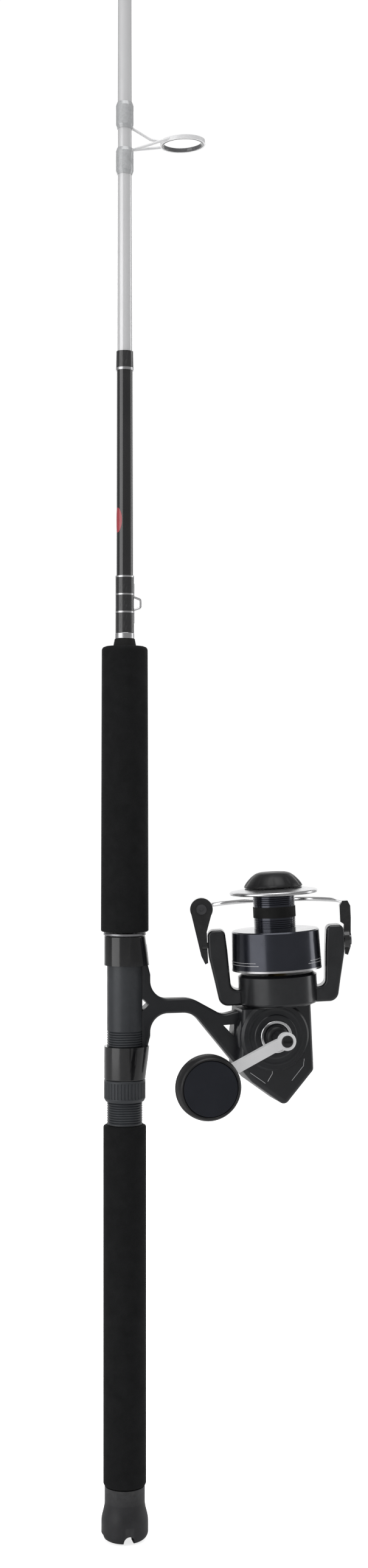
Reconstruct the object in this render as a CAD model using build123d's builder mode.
"""A spinning reel on a one-piece boat rod, in millimetres.

Z runs up the rod from the bottom of the butt, at the origin. The reel hangs on
the +X side of the rod and its crank is on the -Y side.
"""
from build123d import *
import math
import os

os.makedirs("parts", exist_ok=True)

# ---------------------------------------------------------------- rod sizes
ROD_LENGTH = 2134.0
GLUE = 0.1                      # glue line between a piece and what it is slid over

GIMBAL_TOP = 43.5
GIMBAL_NECK_R = 16.5
GIMBAL_R = 19.25
GIMBAL_SLOT = 9.0               # width of the crossed slots in the butt
GIMBAL_SLOT_DEEP = 7.5
BLANK_START = 14.0

REAR_GRIP = (44.0, 339.5)       # lowest and highest point
REAR_GRIP_R = 17.6
FORE_GRIP = (498.0, 732.0)
FORE_GRIP_R = 19.6
FORE_GRIP_TOP_R = 18.9

SEAT = (340.0, 494.8)
SEAT_R = 14.5
SEAT_BORE_R = 12.0
THREAD_TOP = 419.0
THREAD_PITCH = 2.0
THREAD_DEEP = 0.7
ARBOR_LENGTH = 20.0
ARBOR_LOWS = (348.0, 407.0, 468.0)
NUT = (359.0, 376.8)
NUT_R = 17.0
NUT_FLUTES = 36
SLIDING_HOOD = (377.0, 404.0)
FIXED_HOOD = (470.5, 494.5)
HOOD_R = 17.0
HOOD_BULGE = 3.3                # how far a hood's mouth stands out over the foot
HOOD_CLEAR = 0.08               # between the sliding hood or the nut and the seat
SEAT_RING = (495.0, 497.0)
SEAT_RING_R = 17.5

RUBBER_CHECK = (732.0, 738.0)
WINDING_CHECK = (738.1, 743.0)
WINDING_CHECK_R = 8.0
HANDLE_WRAPS = ((743.1, 759.2), (760.8, 773.8), (775.3, 788.3), (960.6, 974.0))
WRAP_THICK = 0.75
BANDS = ((759.3, 760.7), (773.9, 775.2), (788.4, 789.8), (958.4, 960.5))
KEEPER_LOW = 761.0
KEEPER_HIGH = 773.6
KEEPER_REACH = 14.3
KEEPER_WIRE_R = 0.9

# the blank's outer radius falls in straight tapers: (height, radius)
BLANK = (
    (BLANK_START, 7.5),
    (743.0, 7.05),
    (959.0, 6.6),
    (974.0, 6.3),
    (1263.0, 5.5),
    (ROD_LENGTH - 14.0, 1.7),
)
BLANK_WALL = 1.6
BLANK_HOLLOW_TOP = 1700.0

# line guides: (height of the ring, outer radius of the ring, ring centre's distance from the rod)
GUIDES = (
    (1149.0, 18.75, 49.0),
    (1432.0, 13.5, 32.0),
    (1662.0, 10.5, 24.0),
    (1848.0, 8.5, 18.5),
    (2000.0, 7.0, 14.5),
)
GUIDE_TILT = 2.6                # degrees, the far side of the ring is higher
GUIDE_BAND = 1.3                # thickness of the metal band around the insert
GUIDE_INSERT = 1.7              # thickness of the insert
FOOT_THICK = 0.9                # a guide's foot on the blank
TIP_RING_R = 5.0

# --------------------------------------------------------------- reel sizes
DRIVE_X, DRIVE_Z = 123.0, 410.4     # axis of the drive gear, along Y
SPOOL_X = 133.1                     # the spool axis crosses the drive gear's height here
SPOOL_LEAN = 2.74                   # degrees, the spool axis leans towards the rod
ROTOR_TURN = -14.0                  # degrees, where the rotor stands at rest
RUNNING = 0.05                      # radial clearance of shafts in their bores

BODY_SIDE = 20.0                    # half thickness on the crank's side
COVER_SPLIT = 12.0                  # where the side cover meets the body
COVER_SIDE = 18.0                   # outside of the side cover
WALL = 2.5
DRUM_R = 30.0
DRUM_SIDE = 22.0
NECK_R = 28.5
ROOM_RIGHT = 18.0                   # how far the room in the neck reaches from the spool axis
HOUSING_TOP = 24.0                  # heights along the spool axis, from the drive gear
NECK_TOP = 30.0
NOSE_TOP = 42.5
NOSE_R = 14.0
STEM = (430.1, 442.3)
STEM_HALF = 6.5
STEM_ROUND = 2.5
LEG_CURVE = 15.0                    # between the stem and each leg of the foot
STEM_SPLIT = 74.6                   # from here on the stem stays below the rotor's sweep
FOOT = (387.0, 487.0)
FOOT_HALF = 6.5
FOOT_END_X = 17.3
FOOT_X = 20.6
MOUTH_X = SEAT_R + 4.0               # the foot's outside where it enters the hoods

GEAR_TEETH = 52
PINION_TEETH = 11
MESH_REACH = 21.3                   # from the drive axis to the middle of the mesh
GEAR_R = 25.3
GEAR_FACE = (8.6, 5.5)              # back and tooth root of the gear disc, towards -Y
TOOTH_TALL = 1.65
DRIVE_SHAFT_R = 4.0
SPUR_TEETH = 12                     # on the drive shaft, for the crosswind gear
CROSSWIND_TEETH = 28
SPUR_MODULE = 1.0
CROSSWIND_PLANE = (5.6, 8.6)        # towards +Y
CRANK_PIN_REACH = 12.0              # half the spool's stroke
SLIDER_REST = -20.0                 # height of the slider at rest
SHAFT_R = 2.5
PINION_SLEEVE_R = 5.0
BEARING_R = 9.5
CLUTCH_R = 12.0

ROTOR_R = 33.0
ROTOR = (25.0, 51.0)
ROTOR_WALL = 2.5
ARM_INNER = 41.0
ARM_OUTER = 57.0
ARM_TOP = 89.0
ARM_HALF = 10.0
ARM_FLOOR = 38.5                    # top of the arms' roots, below the skirt's lowest place
ARM_ROUND = 2.4
BAIL_PIVOT = 76.0
BAIL_BOSS = (61.0, 107.0)           # distance from the spool axis, height
BAIL_BOSS_R = 9.5
WIRE_BOSS = (59.0, 106.0)
WIRE_R = 1.9
ROLLER_R = 5.6
ROLLER = (1.4, 9.4)
ROLLER_PIN_R = 2.0

SKIRT = (54.0, 87.0)
SKIRT_R = 37.5
SKIRT_TOP_R = 36.75
SKIRT_WALL = 1.6
ARBOR_R = 17.5
ARBOR_TOP = 117.0
LIP_R = 36.85
CHAMBER_R = 14.6                    # the drag chamber inside the arbor
CHAMBER_LOW = 99.0
KNOB_BASE = 122.6
DRAG_KNOB_R = 23.0
DRAG_KNOB_TOP = 135.5

CRANK_LENGTH = 81.8
CRANK_DROP = 19.9                   # degrees below the -X direction
CRANK_PLANE = 52.0                  # middle of the crank's eye, towards -Y
CRANK_END_PLANE = 72.5              # the crank steps out here to pass the rotor
CRANK_THICK = 5.0
CRANK_HALF = 4.4                    # half width of the bar
CRANK_EYE_R = 7.4
CRANK_END_R = 6.2
BEZEL_R = 13.5
KNOB_R = 26.0
KNOB = (76.5, 104.0)
KNOB_FACE_R = 22.0
SPINDLE_R = 3.5

CROSSWIND_STUD_R = 2.5
SCREW_R = 1.5
SCREW_LONG = 7.0                    # of a cover screw inside the body
COVER_SCREWS = ((132.8, 360.5), (150.5, 424.5), (103.7, 380.2))
PINION_LOW = 15.0
RAIL_X = 11.0                       # from the spool axis
RAIL_R = 1.5
RAIL_LOW = -37.8
RAIL_HIGH = -2.0
BAIL_SCREW_R = 2.5
BAIL_WIRE_U = 106.5                 # height of the bail wire on the spool axis
SHAFT_TOP = 128.0
SLIDER_HALF = 3.0
SLIDER_FRONT = -3.3                 # the slider's two sides, along Y
SLIDER_BACK = 4.9
LIP_SEAT_R = 16.4
ARBOR_BAND = 9.0                    # width of the rubber band on the arbor
WASHERS = 7
LEVER_IN = 57.4                     # inner and outer face of the bail levers
BAIL_LEVER_OUT = 61.6

# ------------------------------------------------------------ worked-out places
LEAN = math.radians(SPOOL_LEAN)
REEL = Plane(
    origin=(SPOOL_X, 0, DRIVE_Z),
    x_dir=(math.cos(LEAN), 0, math.sin(LEAN)),
    z_dir=(-math.sin(LEAN), 0, math.cos(LEAN)),
)
SPOOL_AXIS = Axis(REEL.origin, REEL.z_dir)
REEL_SECTION = Plane(REEL.origin, x_dir=REEL.x_dir, z_dir=(0, -1, 0))


def turned(angle):
    """The reel's plane turned about the spool axis."""
    across = REEL.x_dir * math.cos(math.radians(angle)) + REEL.y_dir * math.sin(math.radians(angle))
    return Plane(REEL.origin, x_dir=across, z_dir=REEL.z_dir)


TURNED = turned(ROTOR_TURN)
DRIVE_AXIS = Axis((DRIVE_X, 0, DRIVE_Z), (0, -1, 0))
DRIVE_SECTION = Plane((DRIVE_X, 0, DRIVE_Z), x_dir=(1, 0, 0), z_dir=(0, 0, -1))
GEAR_OFFSET = (SPOOL_X - DRIVE_X) * math.cos(LEAN)   # from the drive axis to the spool axis
PINION_PITCH_R = MESH_REACH * PINION_TEETH / GEAR_TEETH
KNOB_X = DRIVE_X - CRANK_LENGTH * math.cos(math.radians(CRANK_DROP))
KNOB_Z = DRIVE_Z - CRANK_LENGTH * math.sin(math.radians(CRANK_DROP))
CROSSWIND_REACH = SPUR_MODULE * (SPUR_TEETH + CROSSWIND_TEETH) / 2
CROSSWIND_ANGLE = -69.5             # degrees, from the drive axis to the crosswind gear's
CROSSWIND_X = DRIVE_X + CROSSWIND_REACH * math.cos(math.radians(CROSSWIND_ANGLE))
CROSSWIND_Z = DRIVE_Z + CROSSWIND_REACH * math.sin(math.radians(CROSSWIND_ANGLE))
KNOB_AXIS = Axis((KNOB_X, 0, KNOB_Z), (0, -1, 0))
KNOB_SECTION = Plane((KNOB_X, 0, KNOB_Z), x_dir=(1, 0, 0), z_dir=(0, 0, -1))


def blank_r(height):
    """The blank's outer radius at a height."""
    for (low, low_r), (high, high_r) in zip(BLANK, BLANK[1:]):
        if height <= high:
            share = (height - low) / (high - low)
            return low_r + (high_r - low_r) * share
    return BLANK[-1][1]


def side(distance):
    """The plane at right angles to the drive axis, this far towards -Y, in X and Z."""
    return Plane.XZ.offset(distance)


def sleeve_points(low, high, low_r, high_r):
    """Half section of a sleeve glued on the blank."""
    return (
        (blank_r(low) + GLUE, low),
        (low_r, low),
        (high_r, high),
        (blank_r(high) + GLUE, high),
    )


# ===================================================================== ROD
# The blank is a tapered tube, solid towards the tip.
with BuildPart() as blank:
    with BuildSketch(Plane.XZ):
        with BuildLine():
            Polyline(
                (0, BLANK_START),
                *((radius, height) for height, radius in BLANK),
                (0, BLANK[-1][0]),
                close=True,
            )
        make_face()
    revolve(axis=Axis.Z)
    with BuildSketch(Plane.XZ):
        with BuildLine():
            Polyline(
                (0, BLANK_START),
                (blank_r(BLANK_START) - BLANK_WALL, BLANK_START),
                (blank_r(BLANK_HOLLOW_TOP) - BLANK_WALL, BLANK_HOLLOW_TOP),
                (0, BLANK_HOLLOW_TOP),
                close=True,
            )
        make_face()
    revolve(axis=Axis.Z, mode=Mode.SUBTRACT)
blank.part.label = "blank"
export_step(blank.part, "parts/blank.step")

# The gimbal is a flared butt cap with crossed slots in its end.
with BuildPart() as butt_gimbal:
    with BuildSketch(Plane.XZ):
        with BuildLine():
            bottom = Line((0, 0), (GIMBAL_R - 6, 0))
            corner = TangentArc(bottom @ 1, (GIMBAL_R, 6), tangent=(1, 0))
            band = Line(corner @ 1, (GIMBAL_R, 14))
            flare = Spline(band @ 1, (GIMBAL_NECK_R, 31), tangents=((0, 1), (0, 1)))
            neck = Line(flare @ 1, (GIMBAL_NECK_R, GIMBAL_TOP))
            Polyline(
                neck @ 1,
                (blank_r(GIMBAL_TOP) + GLUE, GIMBAL_TOP),
                (blank_r(BLANK_START) + GLUE, BLANK_START - GLUE),
                (0, BLANK_START - GLUE),
                bottom @ 0,
            )
        make_face()
    revolve(axis=Axis.Z)
    for across in (Plane.XZ, Plane.YZ):
        with BuildSketch(across):
            Rectangle(GIMBAL_SLOT, 2 * (GIMBAL_SLOT_DEEP - GIMBAL_SLOT / 2))
            with Locations((0, GIMBAL_SLOT_DEEP - GIMBAL_SLOT / 2)):
                Circle(GIMBAL_SLOT / 2)
        extrude(amount=2 * GIMBAL_R, both=True, mode=Mode.SUBTRACT)
butt_gimbal.part.label = "butt_gimbal"
export_step(butt_gimbal.part, "parts/butt_gimbal.step")

# Foam grips, bored to the blank's taper.
with BuildPart() as rear_grip:
    with BuildSketch(Plane.XZ):
        Polygon(*sleeve_points(*REAR_GRIP, REAR_GRIP_R, REAR_GRIP_R), align=None)
    revolve(axis=Axis.Z)
    rims = rear_grip.edges().filter_by(GeomType.CIRCLE).filter_by(lambda e: e.radius > 15)
    fillet(rims, radius=2.0)
rear_grip.part.label = "rear_grip"
export_step(rear_grip.part, "parts/rear_grip.step")

with BuildPart() as fore_grip:
    with BuildSketch(Plane.XZ):
        Polygon(*sleeve_points(*FORE_GRIP, FORE_GRIP_R, FORE_GRIP_TOP_R), align=None)
    revolve(axis=Axis.Z)
    rims = fore_grip.edges().filter_by(GeomType.CIRCLE).filter_by(lambda e: e.radius > 15)
    fillet(rims.sort_by(Axis.Z)[-1], radius=3.0)
    fillet(fore_grip.edges().filter_by(GeomType.CIRCLE).sort_by(SortBy.RADIUS)[-1], radius=1.0)
fore_grip.part.label = "fore_grip"
export_step(fore_grip.part, "parts/fore_grip.step")

# The reel seat is a tube with a thread on its lower half.
with BuildPart() as seat_tube:
    with BuildSketch(Plane.XY.offset(SEAT[0])):
        Circle(SEAT_R)
        Circle(SEAT_BORE_R, mode=Mode.SUBTRACT)
    extrude(amount=SEAT[1] - SEAT[0])
    grooves = int((THREAD_TOP - SEAT[0] - THREAD_PITCH) / THREAD_PITCH)
    with BuildSketch(Plane.XZ):
        with GridLocations(1, THREAD_PITCH, 1, grooves):
            with Locations((SEAT_R, SEAT[0] + THREAD_PITCH * (grooves + 1) / 2)):
                Rectangle(THREAD_DEEP * math.sqrt(2), THREAD_DEEP * math.sqrt(2), rotation=45)
    revolve(axis=Axis.Z, mode=Mode.SUBTRACT)
seat_tube.part.label = "seat_tube"
export_step(seat_tube.part, "parts/seat_tube.step")

# Arbors centre the seat on the blank.
with BuildPart() as seat_arbors:
    for low in ARBOR_LOWS:
        with BuildSketch(Plane.XZ):
            outer_r = SEAT_BORE_R - GLUE
            Polygon(*sleeve_points(low, low + ARBOR_LENGTH, outer_r, outer_r), align=None)
        revolve(axis=Axis.Z)
seat_arbors.part.label = "seat_arbors"
export_step(seat_arbors.part, "parts/seat_arbors.step")


def foot_points(grow):
    """Side view of the foot in X and Z, grown by a clearance."""
    hood_low = SLIDING_HOOD[1]
    hood_high = FIXED_HOOD[0]
    return (
        (SEAT_R - 3, FOOT[0] - grow),
        (FOOT_END_X + grow, FOOT[0] - grow),
        (MOUTH_X + grow, hood_low),
        (FOOT_X + grow, hood_low + 8),
        (FOOT_X + grow, hood_high - 8),
        (MOUTH_X + grow, hood_high),
        (FOOT_END_X + grow, FOOT[1] + grow),
        (SEAT_R - 3, FOOT[1] + grow),
    )


def hood_solid(narrow, wide, bore_r):
    """A hood: a collar on the seat that bulges over the foot at its mouth."""
    low, high = min(narrow, wide), max(narrow, wide)
    mouth = Plane.XY.offset(wide)
    with BuildPart() as hood:
        with BuildSketch(Plane.XY.offset(low)):
            Circle(HOOD_R)
        extrude(amount=high - low)
        with BuildSketch(Plane.XY.offset(narrow)):
            Circle(HOOD_R)
        with BuildSketch(mouth):
            with Locations((HOOD_BULGE, 0)):
                Circle(HOOD_R)
        loft()
        rim = hood.edges().filter_by(GeomType.CIRCLE).filter_by(Plane.XY)
        fillet(rim.filter_by(lambda e: abs(e.center().Z - narrow) < 0.01), radius=0.8)
        with BuildSketch(Plane.XY.offset(low)):
            Circle(bore_r)
        extrude(amount=high - low, mode=Mode.SUBTRACT)
        with BuildSketch(side(-FOOT_HALF - 0.3)):
            Polygon(*foot_points(0.3), align=None)
        extrude(amount=2 * (FOOT_HALF + 0.3), mode=Mode.SUBTRACT)
    return hood.part


with BuildPart() as sliding_hood:
    add(hood_solid(SLIDING_HOOD[0], SLIDING_HOOD[1], SEAT_R + HOOD_CLEAR))
sliding_hood.part.label = "sliding_hood"
export_step(sliding_hood.part, "parts/sliding_hood.step")

with BuildPart() as fixed_hood:
    add(hood_solid(FIXED_HOOD[1], FIXED_HOOD[0], SEAT_R + GLUE))
fixed_hood.part.label = "fixed_hood"
export_step(fixed_hood.part, "parts/fixed_hood.step")

with BuildPart() as lock_nut:
    with BuildSketch(Plane.XY.offset(NUT[0])):
        Circle(NUT_R)
    extrude(amount=NUT[1] - NUT[0])
    chamfer(lock_nut.faces().sort_by(Axis.Z)[0].edges(), length=2.2, length2=1.2)
    chamfer(lock_nut.faces().sort_by(Axis.Z)[-1].edges(), length=0.6)
    with BuildSketch(Plane.XY.offset(NUT[0] + 3)):
        with PolarLocations(NUT_R + 0.35, NUT_FLUTES):
            Circle(0.95)
    extrude(amount=NUT[1] - NUT[0] - 5, mode=Mode.SUBTRACT)
    with BuildSketch(Plane.XY.offset(NUT[0])):
        Circle(SEAT_R + HOOD_CLEAR)
    extrude(amount=NUT[1] - NUT[0], mode=Mode.SUBTRACT)
lock_nut.part.label = "lock_nut"
export_step(lock_nut.part, "parts/lock_nut.step")

with BuildPart() as seat_ring:
    with BuildSketch(Plane.XZ):
        Polygon(*sleeve_points(*SEAT_RING, SEAT_RING_R, SEAT_RING_R), align=None)
    revolve(axis=Axis.Z)
    rims = seat_ring.edges().filter_by(GeomType.CIRCLE).filter_by(lambda e: e.radius > 15)
    fillet(rims, radius=0.5)
seat_ring.part.label = "seat_ring"
export_step(seat_ring.part, "parts/seat_ring.step")

# Checks close the fore grip's top.
with BuildPart() as rubber_check:
    with BuildSketch(Plane.XZ):
        Polygon(*sleeve_points(*RUBBER_CHECK, 9.5, 8.3), align=None)
    revolve(axis=Axis.Z)
rubber_check.part.label = "rubber_check"
export_step(rubber_check.part, "parts/rubber_check.step")

with BuildPart() as winding_check:
    with BuildSketch(Plane.XZ):
        Polygon(*sleeve_points(*WINDING_CHECK, WINDING_CHECK_R, WINDING_CHECK_R), align=None)
    revolve(axis=Axis.Z)
    rims = winding_check.edges().filter_by(GeomType.CIRCLE).filter_by(lambda e: e.radius > 7.9)
    fillet(rims, radius=0.6)
winding_check.part.label = "winding_check"
export_step(winding_check.part, "parts/winding_check.step")


def foot_bar(low, high, half=1.6):
    """A flat foot that lies along the blank on the reel's side."""
    inside = min(blank_r(low), blank_r(high)) + GLUE
    outside = max(blank_r(low), blank_r(high)) + GLUE + FOOT_THICK
    with BuildPart() as foot:
        with BuildSketch(Plane.XY.offset(low)):
            with Locations(((inside + outside) / 2, 0)):
                Rectangle(outside - inside, 2 * half)
        extrude(amount=high - low)
        with BuildSketch(Plane.XZ):
            with BuildLine():
                Polyline(
                    (0, low),
                    (blank_r(low) + GLUE, low),
                    (blank_r(high) + GLUE, high),
                    (0, high),
                    close=True,
                )
            make_face()
        revolve(axis=Axis.Z, mode=Mode.SUBTRACT)
    return foot.part


def bent_wire(points, radius, bend):
    """A round wire through the points, with rounded bends."""
    with BuildPart() as wire:
        with BuildLine() as path:
            if len(points) > 2:
                FilletPolyline(*points, radius=bend)
            else:
                Polyline(*points)
        with BuildSketch(Plane(origin=path.line @ 0, z_dir=path.line % 0)):
            Circle(radius)
        sweep()
    return wire.part


# The hook keeper is a small wire bow whose ends lie under the wraps.
keeper_x = blank_r(KEEPER_LOW) + GLUE + WRAP_THICK / 2
keeper_feet = [
    foot_bar(KEEPER_LOW - 10, KEEPER_LOW + 1.4, half=KEEPER_WIRE_R),
    foot_bar(KEEPER_HIGH - 1.4, KEEPER_HIGH + 10, half=KEEPER_WIRE_R),
]
with BuildPart() as hook_keeper:
    add(keeper_feet)
    add(bent_wire(
        (
            (keeper_x, 0, KEEPER_LOW + 0.9),
            (KEEPER_REACH - KEEPER_WIRE_R, 0, KEEPER_LOW + 3),
            (KEEPER_REACH - KEEPER_WIRE_R, 0, KEEPER_HIGH - 3),
            (keeper_x, 0, KEEPER_HIGH - 0.9),
        ),
        KEEPER_WIRE_R,
        2.0,
    ))
hook_keeper.part.label = "hook_keeper"
export_step(hook_keeper.part, "parts/hook_keeper.step")

# Thread wraps bound round the blank, with bright trim bands between them.
with BuildPart() as handle_wraps:
    for low, high in HANDLE_WRAPS:
        with BuildSketch(Plane.XZ):
            low_r = blank_r(low) + WRAP_THICK
            high_r = blank_r(high) + WRAP_THICK
            Polygon(*sleeve_points(low, high, low_r, high_r), align=None)
        revolve(axis=Axis.Z)
    add(hook_keeper.part, mode=Mode.SUBTRACT)
handle_wraps.part.label = "handle_wraps"
export_step(handle_wraps.part, "parts/handle_wraps.step")

with BuildPart() as trim_bands:
    for low, high in BANDS:
        with BuildSketch(Plane.XZ):
            band_r = blank_r(low) + WRAP_THICK + 0.1
            Polygon(*sleeve_points(low, high, band_r, band_r), align=None)
        revolve(axis=Axis.Z)
    add(hook_keeper.part, mode=Mode.SUBTRACT)
trim_bands.part.label = "trim_bands"
export_step(trim_bands.part, "parts/trim_bands.step")


# ------------------------------------------------------------- line guides
def guide_plane(height, centre):
    """The plane of a guide's ring, tilted up on its far side."""
    tilt = math.radians(GUIDE_TILT)
    return Plane(
        origin=(centre, 0, height),
        x_dir=(math.cos(tilt), 0, math.sin(tilt)),
        z_dir=(-math.sin(tilt), 0, math.cos(tilt)),
    )


def guide_feet(height, radius):
    """The two feet of a guide, above and below its ring."""
    stand = 0.42 * radius
    reach = 0.62 * radius + 16
    return [
        foot_bar(height + stand, height + reach),
        foot_bar(height - reach, height - stand),
    ]


def guide_frame(height, radius, centre):
    """The bent wire frame and the band that holds the insert."""
    ring = guide_plane(height, centre)
    stand = 0.42 * radius + 1.0
    start = blank_r(height) + GLUE + FOOT_THICK / 2
    near = centre - radius + 0.6
    wire = 0.75 if radius < 12 else 1.1
    with BuildPart() as frame:
        with BuildSketch(ring.offset(-1.6)):
            Circle(radius)
            Circle(radius - GUIDE_BAND, mode=Mode.SUBTRACT)
        extrude(amount=3.2)
        add(guide_feet(height, radius))
        add(bent_wire(
            (
                (start, 0, height + stand),
                (start + 0.62 * (near - start), 0, height + 0.12 * stand),
                (near, 0, height),
            ),
            wire,
            2.0,
        ))
        for across in (-1, 1):
            swing = 0.62 * radius
            along = math.sqrt((radius - 0.6) ** 2 - swing ** 2)
            add(bent_wire(
                (
                    (start, 0, height - stand),
                    (centre - along, across * swing, height - 0.4),
                ),
                wire,
                2.0,
            ))
        with BuildSketch(ring.offset(-4)):
            Circle(radius - GUIDE_BAND)
        extrude(amount=8, mode=Mode.SUBTRACT)
    return frame.part


for number, (height, radius, centre) in enumerate(GUIDES, start=1):
    guide = guide_frame(height, radius, centre)
    guide.label = f"guide_frame_{number}"
    export_step(guide, f"parts/guide_frame_{number}.step")

with BuildPart() as guide_rings:
    for height, radius, centre in GUIDES:
        ring_plane = guide_plane(height, centre)
        insert_r = radius - GUIDE_BAND
        middle = insert_r - GUIDE_INSERT / 2
        section = Plane(ring_plane.origin, x_dir=ring_plane.x_dir, z_dir=(0, -1, 0))
        with BuildSketch(section):
            with Locations((middle, 0)):
                SlotOverall(3.4, GUIDE_INSERT, rotation=90)
            with Locations((middle + GUIDE_INSERT / 4, 0)):
                Rectangle(GUIDE_INSERT / 2, 2.6)
        revolve(axis=Axis(ring_plane.origin, ring_plane.z_dir))
guide_rings.part.label = "guide_rings"
export_step(guide_rings.part, "parts/guide_rings.step")

with BuildPart() as guide_wraps:
    for height, radius, centre in GUIDES:
        stand = 0.42 * radius
        reach = 0.62 * radius + 18
        for low, high in ((height + stand, height + reach), (height - reach, height - stand)):
            thick = GLUE + FOOT_THICK + 0.5
            with BuildSketch(Plane.XZ):
                with BuildLine():
                    Polyline(
                        (blank_r(low) + GLUE, low),
                        (blank_r(low) + 0.4, low),
                        (blank_r(low) + thick, low + 3),
                        (blank_r(high) + thick, high - 3),
                        (blank_r(high) + 0.4, high),
                        (blank_r(high) + GLUE, high),
                        close=True,
                    )
                make_face()
            revolve(axis=Axis.Z)
        add(guide_frame(height, radius, centre), mode=Mode.SUBTRACT)
guide_wraps.part.label = "guide_wraps"
export_step(guide_wraps.part, "parts/guide_wraps.step")

# The tip top is a tube over the blank's end with a ring leaning forward.
TIP_Z = ROD_LENGTH - TIP_RING_R
TIP_RING_X = TIP_RING_R + 1.5
with BuildPart() as tip_top:
    with BuildSketch(Plane.XZ):
        Polygon(*sleeve_points(BLANK[-1][0] - 12, BLANK[-1][0], 2.6, 2.6), align=None)
    revolve(axis=Axis.Z)
    with BuildSketch(Plane.XY.offset(BLANK[-1][0] + GLUE)):
        Circle(2.6)
    extrude(amount=2.0)
    with BuildSketch(Plane.XY.offset(BLANK[-1][0])):
        Circle(2.6)
        Circle(blank_r(BLANK[-1][0]) + GLUE, mode=Mode.SUBTRACT)
    extrude(amount=0.2)
    tip_ring_plane = Plane((TIP_RING_X, 0, TIP_Z), x_dir=(1, 0, 1), z_dir=(-1, 0, 1))
    with BuildSketch(tip_ring_plane.offset(-1.2)):
        Circle(TIP_RING_R)
    extrude(amount=2.4)
    add(bent_wire(((1.2, 0, BLANK[-1][0] + 1.2), (TIP_RING_X - 2.6, 0, TIP_Z - 2.6)), 1.1, 1.0))
    for across in (-1, 1):
        add(bent_wire(
            ((1.6, across * 1.4, BLANK[-1][0] - 8), (TIP_RING_X + 2, across * 4.0, TIP_Z + 1.0)),
            0.7,
            1.0,
        ))
    with BuildSketch(tip_ring_plane.offset(-3)):
        Circle(TIP_RING_R - 0.9)
    extrude(amount=6, mode=Mode.SUBTRACT)
    with BuildSketch(Plane.XZ):
        with BuildLine():
            low = BLANK[-1][0] - 12
            Polyline(
                (0, low),
                (blank_r(low) + GLUE, low),
                (blank_r(BLANK[-1][0]) + GLUE, BLANK[-1][0] + GLUE),
                (0, BLANK[-1][0] + GLUE),
                close=True,
            )
        make_face()
    revolve(axis=Axis.Z, mode=Mode.SUBTRACT)
tip_top.part.label = "tip_top"
export_step(tip_top.part, "parts/tip_top.step")

with BuildPart() as tip_ring:
    with BuildSketch(Plane(tip_ring_plane.origin, x_dir=(1, 0, 1), z_dir=(0, -1, 0))):
        with Locations((TIP_RING_R - 0.9 - 0.6, 0)):
            SlotOverall(2.8, 1.2, rotation=90)
        with Locations((TIP_RING_R - 0.9 - 0.3, 0)):
            Rectangle(0.6, 2.0)
    revolve(axis=Axis(tip_ring_plane.origin, tip_ring_plane.z_dir))
tip_ring.part.label = "tip_ring"
export_step(tip_ring.part, "parts/tip_ring.step")

# ================================================================= REEL BODY
GEARBOX = (
    (96, 440),
    (154.5, 440),
    (157.3, 381),
    (132.3, 352),
    (104, 372.4),
    (93, 385),
)
# side view of the foot and the stem: (place in X and Z, radius of the corner)
STEM_OUTLINE = (
    ((FOOT_END_X, FOOT[0]), 1.0),
    ((MOUTH_X, SLIDING_HOOD[1]), 0.5),
    ((FOOT_X, SLIDING_HOOD[1] + 8), 5.0),
    ((FOOT_X, STEM[0]), LEG_CURVE),
    ((56.6, STEM[0]), 18.0),
    ((104, 372.4), 2.0),
    ((123, 380), 2.0),
    ((123, 440), 2.0),
    ((100, 440), 2.0),
    ((99, 431.5), 2.0),
    ((82, 427.5), 12.0),
    ((55.5, STEM[1]), 24.0),
    ((FOOT_X, STEM[1]), LEG_CURVE),
    ((FOOT_X, FIXED_HOOD[0] - 8), 5.0),
    ((MOUTH_X, FIXED_HOOD[0]), 0.5),
    ((FOOT_END_X, FOOT[1]), 1.0),
    ((SEAT_R - 3, FOOT[1]), 0.5),
    ((SEAT_R - 3, FOOT[0]), 0.5),
)
WINDOW = ((82.3, 419.1), (91.5, 419.6), (91.5, 409.5))

with BuildPart() as gearbox_room:
    with BuildSketch(side(-COVER_SPLIT)):
        Polygon(*GEARBOX, align=None)
        offset(amount=-WALL)
    extrude(amount=COVER_SPLIT + BODY_SIDE - WALL)
    with BuildSketch(side(0)):
        with Locations((DRIVE_X, DRIVE_Z)):
            Circle(DRUM_R - WALL)
    extrude(amount=DRUM_SIDE - WALL)
    split(bisect_by=REEL.offset(HOUSING_TOP - WALL), keep=Keep.BOTTOM)
    with BuildSketch(REEL.offset(HOUSING_TOP - WALL - 4)):
        Circle(NECK_R - 2.3)
        with Locations((ROOM_RIGHT - NECK_R, 0)):
            Rectangle(2 * NECK_R, 2 * COVER_SPLIT, mode=Mode.INTERSECT)
    extrude(amount=NECK_TOP - HOUSING_TOP + 4.5)
    with BuildSketch(REEL.offset(NECK_TOP - 4)):
        Circle(BEARING_R + GLUE)
    extrude(amount=8.5)
    with BuildSketch(REEL.offset(34.3)):
        Circle(CLUTCH_R + GLUE)
    extrude(amount=NOSE_TOP - 34.3)

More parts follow.
